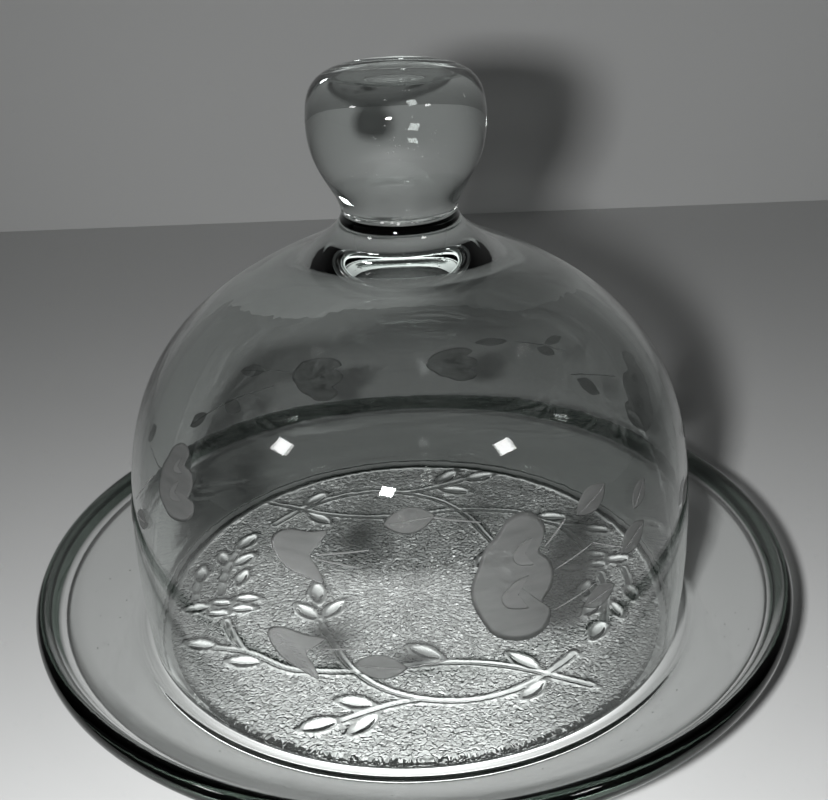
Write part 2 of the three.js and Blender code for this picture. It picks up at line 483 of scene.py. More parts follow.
@dataclass(frozen=True)
class CutFrost:
    """The matte ground of wheel-cut engraving: fine wheel strokes in a grey, half see-through skin.

    The shade varies by the contrast to either side; shadow is the light passed to a shadow, and
    cover the share of the glass that the frost hides.
    """

    name: str
    shade: float
    contrast: float
    shadow: float
    stroke_scale: float
    cover: float = 0.75

    def material(self) -> bpy.types.Material:
        """Builds the material.

        Returns:
            A new material with this finish.
        """
        mat, nodes, links = new_material(self.name)
        skin, out = nodes["Principled BSDF"], nodes["Material Output"]
        skin.inputs["IOR"].default_value = 1.45
        skin.inputs["Transmission Weight"].default_value = 0.8
        skin.inputs["Alpha"].default_value = self.cover
        place, stretch = nodes.new("ShaderNodeTexCoord"), nodes.new("ShaderNodeMapping")
        stretch.inputs["Scale"].default_value = (1.0, 1.0, 5.0)
        strokes, shade, rough = (
            nodes.new("ShaderNodeTexNoise"), nodes.new("ShaderNodeValToRGB"), nodes.new("ShaderNodeMapRange"),
        )
        strokes.inputs["Scale"].default_value = self.stroke_scale
        strokes.inputs["Detail"].default_value = 3.0
        low, high = self.shade - self.contrast, self.shade + self.contrast
        shade.color_ramp.elements[0].position = 0.3
        shade.color_ramp.elements[0].color = (low * 0.98, low, low * 0.985, 1.0)
        shade.color_ramp.elements[1].position = 0.7
        shade.color_ramp.elements[1].color = (high * 0.985, high, high * 0.99, 1.0)
        rough.inputs["To Min"].default_value = 0.42
        rough.inputs["To Max"].default_value = 0.55
        links.new(place.outputs["Object"], stretch.inputs["Vector"])
        links.new(stretch.outputs["Vector"], strokes.inputs["Vector"])
        links.new(strokes.outputs["Fac"], shade.inputs["Fac"])
        links.new(strokes.outputs["Fac"], rough.inputs["Value"])
        links.new(shade.outputs["Color"], skin.inputs["Base Color"])
        links.new(rough.outputs[0], skin.inputs["Roughness"])
        bump = nodes.new("ShaderNodeBump")
        bump.inputs["Strength"].default_value = 0.4
        bump.inputs["Distance"].default_value = 0.0001
        links.new(strokes.outputs["Fac"], bump.inputs["Height"])
        links.new(bump.outputs["Normal"], skin.inputs["Normal"])
        through = stand_in_for_shadow(nodes, links, skin, out)
        through.inputs["Color"].default_value = (self.shadow, self.shadow, self.shadow, 1.0)
        return mat


@dataclass(frozen=True)
class BubbleSkin:
    """The wall of an air bubble seen inside glass, its brightness painted: noise makes it brighter and
    darker from place to place. As metal it is mirror-like; as matte white it catches the lamp as a painted
    glint.
    """

    name: str
    # dark and bright: painted shade and painted highlight of the skin's patches
    dark: float
    bright: float
    metallic: float = 1.0

    def material(self) -> bpy.types.Material:
        """Builds the material.

        Returns:
            A new material with this finish.
        """
        mat, nodes, links = new_material(self.name)
        skin = nodes["Principled BSDF"]
        skin.inputs["Metallic"].default_value = self.metallic
        place, painted_patch, shade, rough = (
            nodes.new("ShaderNodeTexCoord"), nodes.new("ShaderNodeTexNoise"),
            nodes.new("ShaderNodeValToRGB"), nodes.new("ShaderNodeMapRange"),
        )
        painted_patch.inputs["Scale"].default_value = 420.0
        shade.color_ramp.elements[0].color = (self.dark, self.dark, self.dark, 1.0)
        shade.color_ramp.elements[1].color = (self.bright, self.bright, self.bright, 1.0)
        rough.inputs["To Min"].default_value = 0.02
        rough.inputs["To Max"].default_value = 0.2
        links.new(place.outputs["Object"], painted_patch.inputs["Vector"])
        links.new(painted_patch.outputs["Fac"], shade.inputs["Fac"])
        links.new(painted_patch.outputs["Fac"], rough.inputs["Value"])
        links.new(shade.outputs["Color"], skin.inputs["Base Color"])
        links.new(rough.outputs[0], skin.inputs["Roughness"])
        return mat


PRESSED_GLASS = Glass(
    name="pressed_glass", body_colour=(0.72, 0.80, 0.75), density=16.0,
    ripple_scale=22.0, ripple_fine=0.08, ripple_height=0.00045, shadow=ShadowStyle.PRESSED,
    pebbled=True,
)
BLOWN_GLASS = Glass(
    name="blown_glass", body_colour=(0.80, 0.90, 0.86), density=5.0,
    ripple_scale=14.0, ripple_fine=0.05, ripple_height=0.0004, shadow=ShadowStyle.CLEAR,
    tint=(0.88, 0.9, 0.89),
)
GROUND_FROST = CutFrost(name="cut_frost", shade=0.34, contrast=0.05, shadow=0.15, stroke_scale=90.0)
# lighter frost: cut lines, and on petal crescents and leaf midribs a painted highlight of light on the cuts
LINES_AND_HIGHLIGHT_FROST = CutFrost(name="cut_frost_lines_and_highlight", shade=0.4, contrast=0.04, shadow=0.5, stroke_scale=90.0)
# matte white skin: the lamp lights it as a painted glint, standing in for the flash off the bubble walls
WELD_AIR_PAINTED_GLINT = BubbleSkin(name="weld_air_painted_glint", dark=0.4, bright=0.98, metallic=0.0)
# mirror skin of the plate's seeds, its patches painted darker and brighter
SEED_AIR = BubbleSkin(name="seed_air", dark=0.05, bright=0.6)


# ----------------------------------------------------------------------------- plate


@dataclass
class VineRelief:
    """The vine pressed into the underside of the plate, as a depth below the recessed floor.

    Each row of leaves is x, y, heading in degrees and length. One half is listed; the other half
    is the same turned by 180 degrees about the axis.
    """

    leaf_depth: float = 0.8
    leaf_width_share: float = 0.37
    stem_depth: float = 0.55
    stem_radius: float = 0.65
    halo: float = 1.5
    outline_depth: float = 0.05
    centre: tuple[float, float] = (-1.0, 4.6)
    halo_gain: float = 0.75
    leaf_gain: float = 1.45
    stem_gain: float = 1.05
    edge_gain: float = 0.15
    pebble_depth: float = 0.15
    pebble_wave: float = 1.7
    waves: int = 56
    seed: int = 7

    leaves = np.array([
        (-69.6, -29.4, 165, 9.7), (-54.2, -39, 172, 10.4), (3.6, -38.2, 147, 11.6),
        (34.5, -44.6, 138, 11.2), (36, -57.8, 47, 10.8),
        (-32.8, -3.5, 97, 11), (-36, -14, 131, 10.6), (-26.8, -13.2, 58, 10.4),
        (-18.3, -60.8, 165, 10.9), (-28.8, -70, 17, 11.4), (-15.6, -70.6, 48, 11),
        (-60.4, 30.2, 58, 10.5), (-68.2, 19.6, 105, 8), (-60.6, 18.5, 47, 9),
        (-75.2, 10.2, 88, 8.8), (-60, 7.3, 75, 8.4),
        (-57, -5.2, 0, 7.8), (-58, -10.9, -2, 8), (-65.7, -7.2, 0, 6.8),
        (-66.2, -13.1, -3, 6.8), (-73.8, -9.8, 10, 8.6),
    ])
    stems = (
        [(-65, -31.5), (-54, -34.5), (-47, -39), (-40, -43.5), (-31, -45.5), (-18.5, -46.5),
         (-4, -45), (8, -44), (23, -45.2), (35, -48.5), (41, -51), (54, -57)],
        [(-31.5, -19), (-30, -24), (-27, -31), (-23, -40), (-18.5, -47), (-10, -55), (2, -60.5),
         (13, -62), (25, -60), (34, -56), (41, -51), (51, -41.5)],
        [(-22, -68.5), (-13, -64.5), (-5, -61.8), (2, -60.5)],
        [(-63, -17.5), (-59.5, -26), (-55, -34)],
        [(-66.5, -2), (-66.5, 6), (-65.5, 15), (-63, 25)],
        [(-75, -4.5), (-75.6, 1), (-75.4, 6)],
    )

    def stem_distance(self, x: np.ndarray, y: np.ndarray) -> np.ndarray:
        """Distance from each point to the nearest stem.

        A stem is a fair curve through its knots, cut into short straight pieces; the distance to
        a piece is that to the nearest of its points, found by projecting onto it and clipping.

        Args:
            x: x of the points.
            y: y of the points.

        Returns:
            The distances, of x's shape.
        """
        nearest = np.full(x.shape, FAR)
        reach = 6.0
        for knots in self.stems:
            half = fair_curve(np.array(knots, dtype=float), 10 * len(knots))
            for line in (half, -half):
                low, high = line.min(axis=0) - reach, line.max(axis=0) + reach
                near = (x > low[0]) & (x < high[0]) & (y > low[1]) & (y < high[1])
                p = np.column_stack([x[near], y[near]])
                a, d = line[:-1], np.diff(line, axis=0)
                away = p[:, None] - a
                t = np.clip((away * d).sum(-1) / (d * d).sum(-1), 0.0, 1.0)
                gap = np.linalg.norm(away - t[..., None] * d, axis=-1).min(axis=1)
                nearest[near] = np.minimum(nearest[near], gap)
        return nearest

    def leaf_fields(self, x: np.ndarray, y: np.ndarray) -> tuple[np.ndarray, np.ndarray]:
        """Roof height of the leaves, and the distance to the nearest leaf's edge.

        Along a leaf t runs from 0 to 1. Its half width is (w / 2) sin(pi t)^0.85. Across it the
        depth follows an ellipse, flat over the middle rib and steep at the edge.

        Args:
            x: x of the points.
            y: y of the points.

        Returns:
            Roof height from 0 to 1, and distance outside the edge.
        """
        roof, outside = np.zeros(x.shape), np.full(x.shape, FAR)
        both = np.vstack([self.leaves, self.leaves * (-1, -1, 1, 1) + (0, 0, 180, 0)])
        for cx, cy, heading, length in both:
            c, s = math.cos(math.radians(heading)), math.sin(math.radians(heading))
            u, v = (x - cx) * c + (y - cy) * s, -(x - cx) * s + (y - cy) * c
            half_width = self.leaf_width_share * length / 2
            t = np.clip(u / length + 0.5, 0.0, 1.0)
            bow = np.sin(np.pi * t)
            edge = half_width * np.maximum(bow, 0.0) ** 0.85
            inside = 1.0 - np.abs(v) / np.maximum(edge, 1e-3)
            ridge = np.sqrt(1.0 - (1.0 - np.clip(inside, 0.0, 1.0)) ** 2) * bow**0.35
            roof = np.maximum(roof, np.where(inside > 0.0, ridge, 0.0))
            beyond = np.maximum(np.abs(u) - length / 2, 0.0)
            gap = np.hypot(beyond, np.maximum(np.abs(v) - edge, 0.0)) * 0.9
            outside = np.minimum(outside, gap)
        return roof, outside

    def pebble(self, x: np.ndarray, y: np.ndarray) -> np.ndarray:
        """Worm-like wrinkles of one size, from -1 to 1.

        The sum of many plane waves of nearly one length and every direction has level lines that
        wander like the wrinkles of pressed pebble glass; a hyperbolic tangent flattens its tops.

        Args:
            x: x of the points.
            y: y of the points.

        Returns:
            The wrinkle height, of x's shape.
        """
        rng = np.random.default_rng(self.seed)
        heading = rng.uniform(0.0, TURN, self.waves)
        number = TURN / (self.pebble_wave * rng.uniform(0.8, 1.25, self.waves))
        phase = rng.uniform(0.0, TURN, self.waves)
        total = np.zeros(x.shape)
        for a, k, p in zip(heading, number, phase):
            total += np.cos(k * (x * math.cos(a) + y * math.sin(a)) + p)
        return np.tanh(1.4 * total / math.sqrt(self.waves / 2))

    def depth(self, x: np.ndarray, y: np.ndarray, fade: np.ndarray) -> tuple[np.ndarray, ...]:
        """Depth of the relief, the mask of the pebbled ground, and how the relief gathers light.

        Args:
            x: x of the points.
            y: y of the points.
            fade: 1 on the field and 0 at its rim.

        Returns:
            Depth below the recessed floor, the pebble mask, and the gain of light, 1 on plain ground.
        """
        vine_x, vine_y = x - self.centre[0], y - self.centre[1]
        stem = self.stem_distance(vine_x, vine_y)
        roof, leaf = self.leaf_fields(vine_x, vine_y)
        bead = self.stem_depth * np.sqrt(np.clip(1.0 - (stem / self.stem_radius) ** 2, 0.0, 1.0))
        free = np.minimum(stem - 0.3, leaf)
        ground = smoothstep(self.halo - 0.3, self.halo + 0.6, free)
        outline = self.outline_depth * np.exp(-(((free - self.halo) / 0.38) ** 2))
        wrinkles = self.pebble_depth * self.pebble(x, y) * ground
        relief = np.maximum(self.leaf_depth * roof, bead) + outline + wrinkles
        gain = self.halo_gain + (1.0 - self.halo_gain) * ground
        gain = gain + (self.stem_gain - gain) * np.clip(bead / self.stem_depth, 0.0, 1.0)
        gain = gain + (self.edge_gain - gain) * np.exp(-((leaf / 0.45) ** 2))
        gain = gain + (self.leaf_gain - gain) * smoothstep(0.1, 0.6, roof)
        return relief * fade, ground * fade, 1.0 + (gain - 1.0) * fade


@dataclass
class Plate:
    """The pressed-glass plate: a thick flat floor, a seat groove, a dished flange and a rolled lip."""

    radius: float
    height: float
    vine: VineRelief
    segments: int = 600
    floor_top: float = 5.4
    ceiling: float = 1.6
    field_radius: float = 84.7
    bare_radius: float = 14.0
    coarse_rings: int = 10
    fine_rings: int = 104
    lip_crest: float = 120.8
    foot: tuple[float, float] = (86.8, 91.2)
    under_height: float = 2.0
    seed_count: int = 60
    seed_order: int = 5
    seed_band: tuple[float, float] = (97.0, 113.0)
    seed_heights: tuple[float, float] = (5.7, 11.6)
    seat_floor: float = 4.5
    seat: tuple[float, float] = (86.0, 92.0)

    def field_radii(self) -> np.ndarray:
        """Radii of the rings over the field: wide steps in the middle, close ones where the vine is."""
        middle = np.linspace(1.4, self.bare_radius, self.coarse_rings, endpoint=False)
        return np.concatenate([middle, np.linspace(self.bare_radius, self.field_radius, self.fine_rings)])

    def outer_section(self) -> np.ndarray:
        """Section outside the field: foot ring, under the flange, round the lip, and back to the floor.

        Returns:
            (n, 2) radii and heights, from the foot to the axis side of the floor.
        """
        foot_in, foot_out = self.foot
        seat_in, seat_out = self.seat
        foot = np.array([
            (self.field_radius + 0.5, 1.3), (foot_in - 1.0, 0.6), (foot_in - 0.3, 0.1), (foot_in + 0.5, 0.0),
            (foot_out - 0.4, 0.0), (foot_out + 0.5, 0.12),
        ])
        under = fair_curve(np.array([
            (foot_out + 1.6, 0.6), (94.6, 2.0), (101, 4.6), (110, 8.0), (117, 10.8), (121.4, 12.8),
            (self.radius - 1.0, 14.6), (self.radius, 16.8), (self.radius - 0.4, 18.9),
            (self.radius - 1.8, 20.4), (self.radius - 4.2, self.height), (self.radius - 6.0, 20.1),
            (self.radius - 7.3, 17.8), (self.radius - 8.6, 15.8), (self.radius - 11.2, 14.1),
            (self.radius - 13.0, 13.45), (self.radius - 15.0, 12.6), (104, 10.5), (97, 8.1),
            (seat_out + 2.6, 7.25),
        ]), 36)
        seat = np.array([
            (seat_out + 1.5, 6.7), (seat_out + 0.8, 5.6), (seat_out + 0.3, 4.8),
            (seat_out - 0.5, self.seat_floor),
            (seat_in + 0.5, self.seat_floor), (seat_in - 0.3, 4.75), (seat_in - 1.0, 5.2),
            (seat_in - 2.0, self.floor_top), (self.field_radius * 0.5, self.floor_top),
        ])
        return np.vstack([foot, under, seat])

    def build(self) -> bpy.types.Object:
        """Makes the plate as one closed surface of revolution whose underside carries the vine.

        Returns:
            The plate.
        """
        radii = self.field_radii()
        field = revolve(np.column_stack([radii, np.full(len(radii), self.ceiling)]), self.segments)
        fade = 1.0 - smoothstep(self.field_radius - 2.6, self.field_radius - 1.2, radii)[:, None]
        relief, ground, gather = self.vine.depth(field[..., 0], field[..., 1], fade)
        field[..., 2] -= relief
        section = self.outer_section()
        rest = revolve(section, self.segments)
        rings = np.concatenate([field, rest])
        smooth = np.zeros(rest.shape[:2])
        # lip is 1 on the rolled lip: as "edge" it gets painted shade, as "thick" it passes less lamp light
        lip = smoothstep(self.lip_crest - 0.5, self.lip_crest + 0.2, section[:, 0])[:, None]
        lip = np.concatenate([np.zeros(ground.shape), np.broadcast_to(lip, smooth.shape)])
        under = 1.0 - smoothstep(self.foot[0] - 0.5, self.foot[0] + 2.0, section[:, 0])
        under = under * (section[:, 1] < self.under_height)
        shells = Shells()
        first = np.array([0.0, 0.0, self.ceiling - relief[0].mean()])
        shells.add(
            rings, first, np.array([0.0, 0.0, self.floor_top]),
            pebble=np.concatenate([ground, smooth]), edge=lip, thick=lip,
            field=np.concatenate([np.ones(ground.shape), smooth + under[:, None]]),
            gather=np.concatenate([gather, smooth + 1.0]),
        )
        return shells.mesh_object("pressed_plate", PRESSED_GLASS.material())

    def seeds(self) -> bpy.types.Object:
        """Makes the seeds: tiny air bubbles caught in the flange, between its two faces.

        Returns:
            The seeds, one mesh.
        """
        rng = np.random.default_rng(self.seed_order)
        shells = Shells()
        for _ in range(self.seed_count):
            a, r = rng.uniform(0, TURN), rng.uniform(*self.seed_band)
            middle = np.interp(r, self.seed_band, self.seed_heights)
            centre = np.array([r * math.cos(a), r * math.sin(a), middle + rng.normal(0, 0.3)])
            add_bubble(shells, centre, rng.uniform(0.1, 0.24), rng.uniform(0.6, 1.0))
        return shells.mesh_object("plate_seeds", SEED_AIR.material())

    def dress(self) -> None:
        """Builds the plate and its seeds and ties them to the frame."""
        plate, seeds = self.build(), self.seeds()
        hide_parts("plate")
        for piece in (plate, seeds):
            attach(piece, "plate")
            log.info("%s: %d faces", piece.name, len(piece.data.polygons))


# ----------------------------------------------------------------------------- lid


@dataclass
class Bell:
    """The blown bell with its applied solid knob, one body of glass from rim to knob."""

    base_z: float
    top_z: float
    base_radius: float = 89.6
    widest: float = 90.7
    wall: float = 2.7
    crown_inner: float = 127.0
    neck_radius: float = 17.4
    weld_z: float = 142.1
    knob_radius: float = 26.3
    rim_rise: float = 1.2
    wall_top: float = 125.0
    segments: int = 400
    seed_count: int = 44
    seed_order: int = 3
    seed_middle: tuple[float, float, float] = (2.0, -4.0, 163.0)
    seed_spread: tuple[float, float, float] = (7.0, 6.0, 3.0)
    seed_slant: float = 0.3
    seed_reach: float = 0.8

    def outside(self) -> np.ndarray:
        """Outside section from the rim over the shoulder and the neck to the top of the knob."""
        return fair_curve(np.array([
            (self.base_radius, self.base_z + self.rim_rise), (90.4, 20), (self.widest, 36),
            (89.8, 54), (87.1, 72),
            (80.6, 89.5), (68.8, 104.8), (53, 116.9), (39, 124.8), (27.8, 130.6), (21, 135.6),
            (18.2, 139.2), (self.neck_radius, self.weld_z + 0.2), (18.1, 145), (20.2, 149.2),
            (23.2, 154.6), (25.4, 160.5), (self.knob_radius, 167.2), (26, 173.2), (24.4, 178.4),
            (20.6, 181.8), (14, 182.8), (0, self.top_z - 0.1),
        ]), 150, to_axis=True)

    def inside(self) -> np.ndarray:
        """Inside section from the top of the hollow down to the rim."""
        return fair_curve(np.array([
            (0, self.crown_inner), (14, self.crown_inner - 0.5), (26, 124.0), (38, 119.8), (51.6, 113.8),
            (66.4, 103), (77.9, 88.2), (84.3, 71.2), (87, 53.6), (87.9, 36), (87.7, 20),
            (self.base_radius - self.wall + 0.1, self.base_z + self.rim_rise),
        ]), 78, from_axis=True)

    def rim(self) -> np.ndarray:
        """The fire-polished rim: a half round between the two walls."""
        round_half = self.wall / 2 - 0.05
        centre = (self.base_radius - self.wall / 2 + 0.05, self.base_z + self.rim_rise)
        turn = arc(centre, round_half, 180, 360, 12)[1:-1]
        drop = (turn[:, 1] - centre[1]) * self.rim_rise / round_half
        return np.column_stack([turn[:, 0], centre[1] + drop])

    def build(self) -> bpy.types.Object:
        """Makes the bell and knob as one closed surface of revolution.

        Returns:
            The lid's glass.
        """
        section = np.vstack([self.inside()[1:], self.rim(), self.outside()[:-1]])
        solid = smoothstep(self.weld_z + 1.0, self.weld_z + 8.0, section[:, 1])[:, None]
        rim = 1.0 - smoothstep(self.base_z + 1.8, self.base_z + 4.0, section[:, 1])[:, None]
        shells = Shells()
        shells.add(
            revolve(section, self.segments),
            np.array([0.0, 0.0, self.crown_inner]), np.array([0.0, 0.0, self.top_z - 0.1]),
            thick=np.broadcast_to(solid, (len(section), self.segments)),
            rim=np.broadcast_to(rim, (len(section), self.segments)),
        )
        return shells.mesh_object("bell_and_knob", BLOWN_GLASS.material())

    def seeds(self) -> bpy.types.Object:
        """Makes the knob's seeds: a loose, slanting sheet of tiny bubbles caught as it was gathered.

        Their places scatter about the middle, and one that would leave the knob is pulled inside.

        Returns:
            The seeds, one mesh.
        """
        rng = np.random.default_rng(self.seed_order)
        shells = Shells()
        right, back, up = self.seed_middle
        for _ in range(self.seed_count):
            x, y = rng.normal(right, self.seed_spread[0]), rng.normal(back, self.seed_spread[1])
            z = up + self.seed_slant * x + rng.normal(0, self.seed_spread[2])
            pull = max(math.hypot(x, y) / (self.seed_reach * self.knob_radius), 1.0)
            centre = np.array([x / pull, y / pull, z])
            add_bubble(shells, centre, rng.uniform(0.08, 0.2), rng.uniform(0.6, 1.0))
        # the seeds wear the white matte skin: painted glints in place of the flash off the bubbles
        return shells.mesh_object("knob_seeds", WELD_AIR_PAINTED_GLINT.material())

    def wall_at(self, z: np.ndarray) -> tuple[np.ndarray, np.ndarray]:
        """Radius of the outside wall at a height, and the angle of its outward normal above level.

        Args:
            z: heights on the wall, below the shoulder's turn.

        Returns:
            Radii and normal angles in radians.
        """
        line = self.outside()
        line = line[line[:, 1] < self.wall_top]
        slope = np.gradient(line[:, 0], line[:, 1])
        return np.interp(z, line[:, 1], line[:, 0]), np.arctan(-np.interp(z, line[:, 1], slope))

    def dress(self) -> None:
        """Builds the lid's glass and ties it to the frame."""
        lid = self.build()
        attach(lid, "lid")
        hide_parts("dome_bell", "knob")
        log.info("bell_and_knob: %d faces", len(lid.data.polygons))
        sparks = self.seeds()
        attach(sparks, "lid")
        log.info("knob_seeds: %d faces", len(sparks.data.polygons))


class Motif(Enum):
    """Outlines that the engraver's wheel cuts."""

    LEAF = "leaf"
    TWIN_LEAF = "twin_leaf"
    BLOSSOM = "blossom"
    CRESCENT = "crescent"


@dataclass
class Engraving:
    """Wheel-cut blossoms, leaves and stalks in a belt round the bell.

    Places on the bell are an angle round the axis in degrees, a height, a tilt of the motif in
    degrees from level, and its length and width.
    """

    bell: Bell
    proud: float = 0.04
    thickness: float = 0.16
    ring_points: int = 72
    rows: int = 9
    stalk_width: float = 0.55
    stalk_rings: int = 24
    stalk_sides: int = 8
    belt_radius: float = 88.0
    midrib_share: float = 0.4

    cuts = {
        Motif.BLOSSOM: np.array([
            (0.5, 0.0), (0.44, 0.12), (0.33, 0.2), (0.44, 0.33), (0.37, 0.44), (0.16, 0.5), (-0.03, 0.46),
            (-0.16, 0.37), (-0.31, 0.29), (-0.41, 0.15), (-0.5, 0.02), (-0.49, -0.12), (-0.41, -0.25),
            (-0.31, -0.37), (-0.06, -0.48), (0.23, -0.5), (0.43, -0.39), (0.44, -0.3), (0.34, -0.23),
            (0.44, -0.14),
        ]),
        Motif.TWIN_LEAF: np.array([
            (-0.5, 0.04), (-0.36, 0.27), (-0.12, 0.37), (0.2, 0.44), (0.4, 0.5), (0.36, 0.36),
            (0.24, 0.1), (0.2, 0.0), (0.27, -0.12), (0.42, -0.3), (0.5, -0.5), (0.26, -0.48),
            (-0.04, -0.44), (-0.32, -0.28), (-0.47, -0.08),
        ]),
        Motif.CRESCENT: np.array([
            (0.35, 0.5), (0.0, 0.44), (-0.3, 0.25), (-0.5, 0.0), (-0.42, -0.28), (-0.1, -0.45), (0.3, -0.5),
            (0.05, -0.3), (-0.12, -0.05), (-0.1, 0.2), (0.1, 0.38),
        ]),
    }
    blossoms = np.array([
        (-72.5, 64.5, 0, 24, 37), (112.5, 51.0, 188, 21, 27), (159.0, 35.0, 160, 18, 22),
        (-142.0, 80.0, 30, 18, 22), (78.5, 55.5, 170, 20, 24), (20.0, 62.0, 5, 22, 32),
    ])
    leaves = np.array([
        (-90.5, 84.3, 8, 14, 7), (-96.4, 42.4, -2, 15, 8),
        (-54.6, 80.0, 22, 13, 7), (-42.0, 74.5, 40, 10, 5.5), (-45.6, 63.5, 25, 13, 8),
        (-55.0, 51.5, 10, 12, 7),
        (130.3, 60.7, 10, 12, 6), (149.6, 50.5, 0, 11, 5.5), (137.5, 47.5, 40, 10, 6),
        (68.8, 71.0, 0, 13, 6), (51.3, 70.5, -30, 9, 5), (53.4, 64.2, 20, 9, 5),
        (-20.0, 58.0, 20, 12, 6), (-8.0, 70.0, -15, 12, 6), (40.0, 52.0, 10, 12, 6),
        (175.0, 66.0, 12, 12, 6), (-168.0, 52.0, -18, 12, 6), (-155.0, 60.0, 15, 12, 6),
    ])
    leaf_pairs = np.array([(-110.5, 74.9, -8, 17, 15), (-111.5, 45.8, -18, 18, 14)])
    # petal crescents: cuts in the lighter frost, whose lighter tone is a painted highlight of light caught in
    # the cut
    petal_cuts_and_highlights = ((0.04, -0.1, 0.4, 0.26), (0.16, 0.2, 0.3, 0.2))
    stalks = (
        (-87.0, 85.0, -78.0, 82.0), (-107.5, 74.5, -98.0, 77.0), (-107.5, 73.5, -99.0, 72.0),
        (-107.5, 46.5, -98.0, 48.5), (-92.0, 42.3, -83.0, 44.5), (-64.5, 65.0, -56.0, 68.5),
        (-65.0, 53.0, -56.0, 56.0), (-56.0, 68.5, -48.0, 62.0), (-61.0, 78.0, -66.0, 72.0),
        (62.3, 70.3, 47.2, 64.8), (134.3, 62.0, 118.0, 56.0), (153.0, 50.5, 124.0, 50.0),
        (30.0, 62.0, 46.0, 54.0), (8.0, 60.0, -12.0, 58.0), (166.0, 40.0, 178.0, 66.0),
        (-150.0, 78.0, -160.0, 62.0),
    )

    def outline(self, kind: Motif, a: np.ndarray) -> np.ndarray:
        """Outline of a motif in a box from -1/2 to 1/2, x along its length.

        A single leaf is x = cos a / 2, y = sin a |sin a|^0.8 / 2, which gives it two points. The
        others are fair closed curves through a few knots.

        Args:
            kind: which motif.
            a: angles round the outline.

        Returns:
            (n, 2) points.
        """
        if kind is Motif.LEAF:
            return np.column_stack([0.5 * np.cos(a), 0.5 * np.sin(a) * np.abs(np.sin(a)) ** 0.8])
        return closed_outline(self.cuts[kind], len(a))

    def on_wall(self, angle: float, z: float, across: np.ndarray, up: np.ndarray,
                proud: np.ndarray) -> np.ndarray:
        """Wraps flat motif points onto the bell: across becomes an angle, up a height along the wall.

        Args:
            angle: the motif's place round the axis, in degrees.
            z: the motif's height.
            across: distance round the bell.
            up: distance along the wall.
            proud: distance outside the wall.

        Returns:
            Positions, with 3 in the last axis.
        """
        _, lean0 = self.bell.wall_at(np.array(z))
        height = z + up * math.cos(float(lean0))
        r, lean = self.bell.wall_at(height)
        a = math.radians(angle) + across / r
        rr = r + proud * np.cos(lean)
        return np.stack([rr * np.cos(a), rr * np.sin(a), height + proud * np.sin(lean)], axis=-1)

    def add_patch(self, shells: Shells, kind: Motif, place: tuple[float, ...], lift: float = 0.0) -> None:
        """Adds one motif as a thin closed skin on the wall.

        A point is centre + s * outline(a), for s from 0 to 1 on the side against the wall and
        back to 0 on the outer side, which is domed by (1 - s^6) times the thickness.

        Args:
            shells: where to add it.
            kind: which motif.
            place: angle, height, tilt, length and width.
            lift: extra distance outside the wall.
        """
        angle, z, tilt, length, width = place
        a = np.arange(self.ring_points) * TURN / self.ring_points
        x, y = (self.outline(kind, a) * (length, width)).T
        c, s = math.cos(math.radians(tilt)), math.sin(math.radians(tilt))
        flat_x, flat_y = x * c - y * s, x * s + y * c
        share = np.linspace(0.12, 1.0, self.rows)
        share = np.concatenate([share, share[::-1][1:]])[:, None]
        outer = np.arange(len(share)) >= self.rows
        thick = np.where(outer[:, None], self.thickness * (1.0 - share**6 * 0.9), 0.0)
        rings = self.on_wall(angle, z, share * flat_x, share * flat_y, self.proud + lift + thick)
        zero = np.zeros(1)
        first = self.on_wall(angle, z, zero, zero, zero + self.proud + lift)[0]
        last = self.on_wall(angle, z, zero, zero, zero + self.proud + lift + self.thickness)[0]
        shells.add(rings, first, last)

    def add_petal_cuts_and_highlights(self, shells: Shells, place: tuple[float, ...]) -> None:
        """Adds the crescents that part a blossom into petal lobes, each at its share of the blossom's box.
        They are cuts in the lighter frost, whose lighter tone is a painted highlight of light caught in the
        cut.

        Args:
            shells: where to add them.
            place: the blossom's angle, height, tilt, length and width.
        """
        angle, z, tilt, length, width = place
        c, s = math.cos(math.radians(tilt)), math.sin(math.radians(tilt))
        for right, up, long_share, wide_share in self.petal_cuts_and_highlights:
            x, y = right * length * c - up * width * s, right * length * s + up * width * c
            turn = math.degrees(x / self.bell.base_radius)
            petal = (angle + turn, z + y, tilt, length * long_share, width * wide_share)
            self.add_patch(shells, Motif.CRESCENT, petal, self.thickness)

    def add_stalk(self, shells: Shells, a0: float, z0: float, a1: float, z1: float,
                  lift: float = 0.0) -> None:
        """Adds a cut line: a flat oval section carried straight from one place to another.

        Args:
            shells: where to add it.
            a0: start angle in degrees.
            z0: start height.
            a1: end angle in degrees.
            z1: end height.
            lift: extra distance outside the wall.
        """
        t = np.linspace(0.0, 1.0, self.stalk_rings)
        run = math.radians(a1 - a0) * self.belt_radius
        rise = z1 - z0
        length = math.hypot(run, rise)
        nx, ny = -rise / length, run / length
        phi = np.arange(self.stalk_sides) * TURN / self.stalk_sides
        slim = (np.sin(np.pi * np.clip(t, 0.02, 0.98)) ** 0.25)[:, None]
        side = -self.stalk_width / 2 * np.cos(phi) * slim
        bulge = self.proud + 0.05 + lift + 0.5 * self.thickness * (np.sin(phi) * slim)
        across, up = run * t[:, None] + nx * side, rise * t[:, None] + ny * side
        rings = self.on_wall(a0, z0, across, up, bulge)
        shells.add(rings, rings[0].mean(axis=0), rings[-1].mean(axis=0))

    def dress(self) -> None:
        """Builds blossoms, leaves and stalks and ties them to the lid."""
        flowers, petal_cuts_and_highlights, leaves, stalks = Shells(), Shells(), Shells(), Shells()
        for place in self.blossoms:
            self.add_patch(flowers, Motif.BLOSSOM, tuple(place))
            self.add_petal_cuts_and_highlights(petal_cuts_and_highlights, tuple(place))
        for place in self.leaves:
            self.add_patch(leaves, Motif.LEAF, tuple(place))
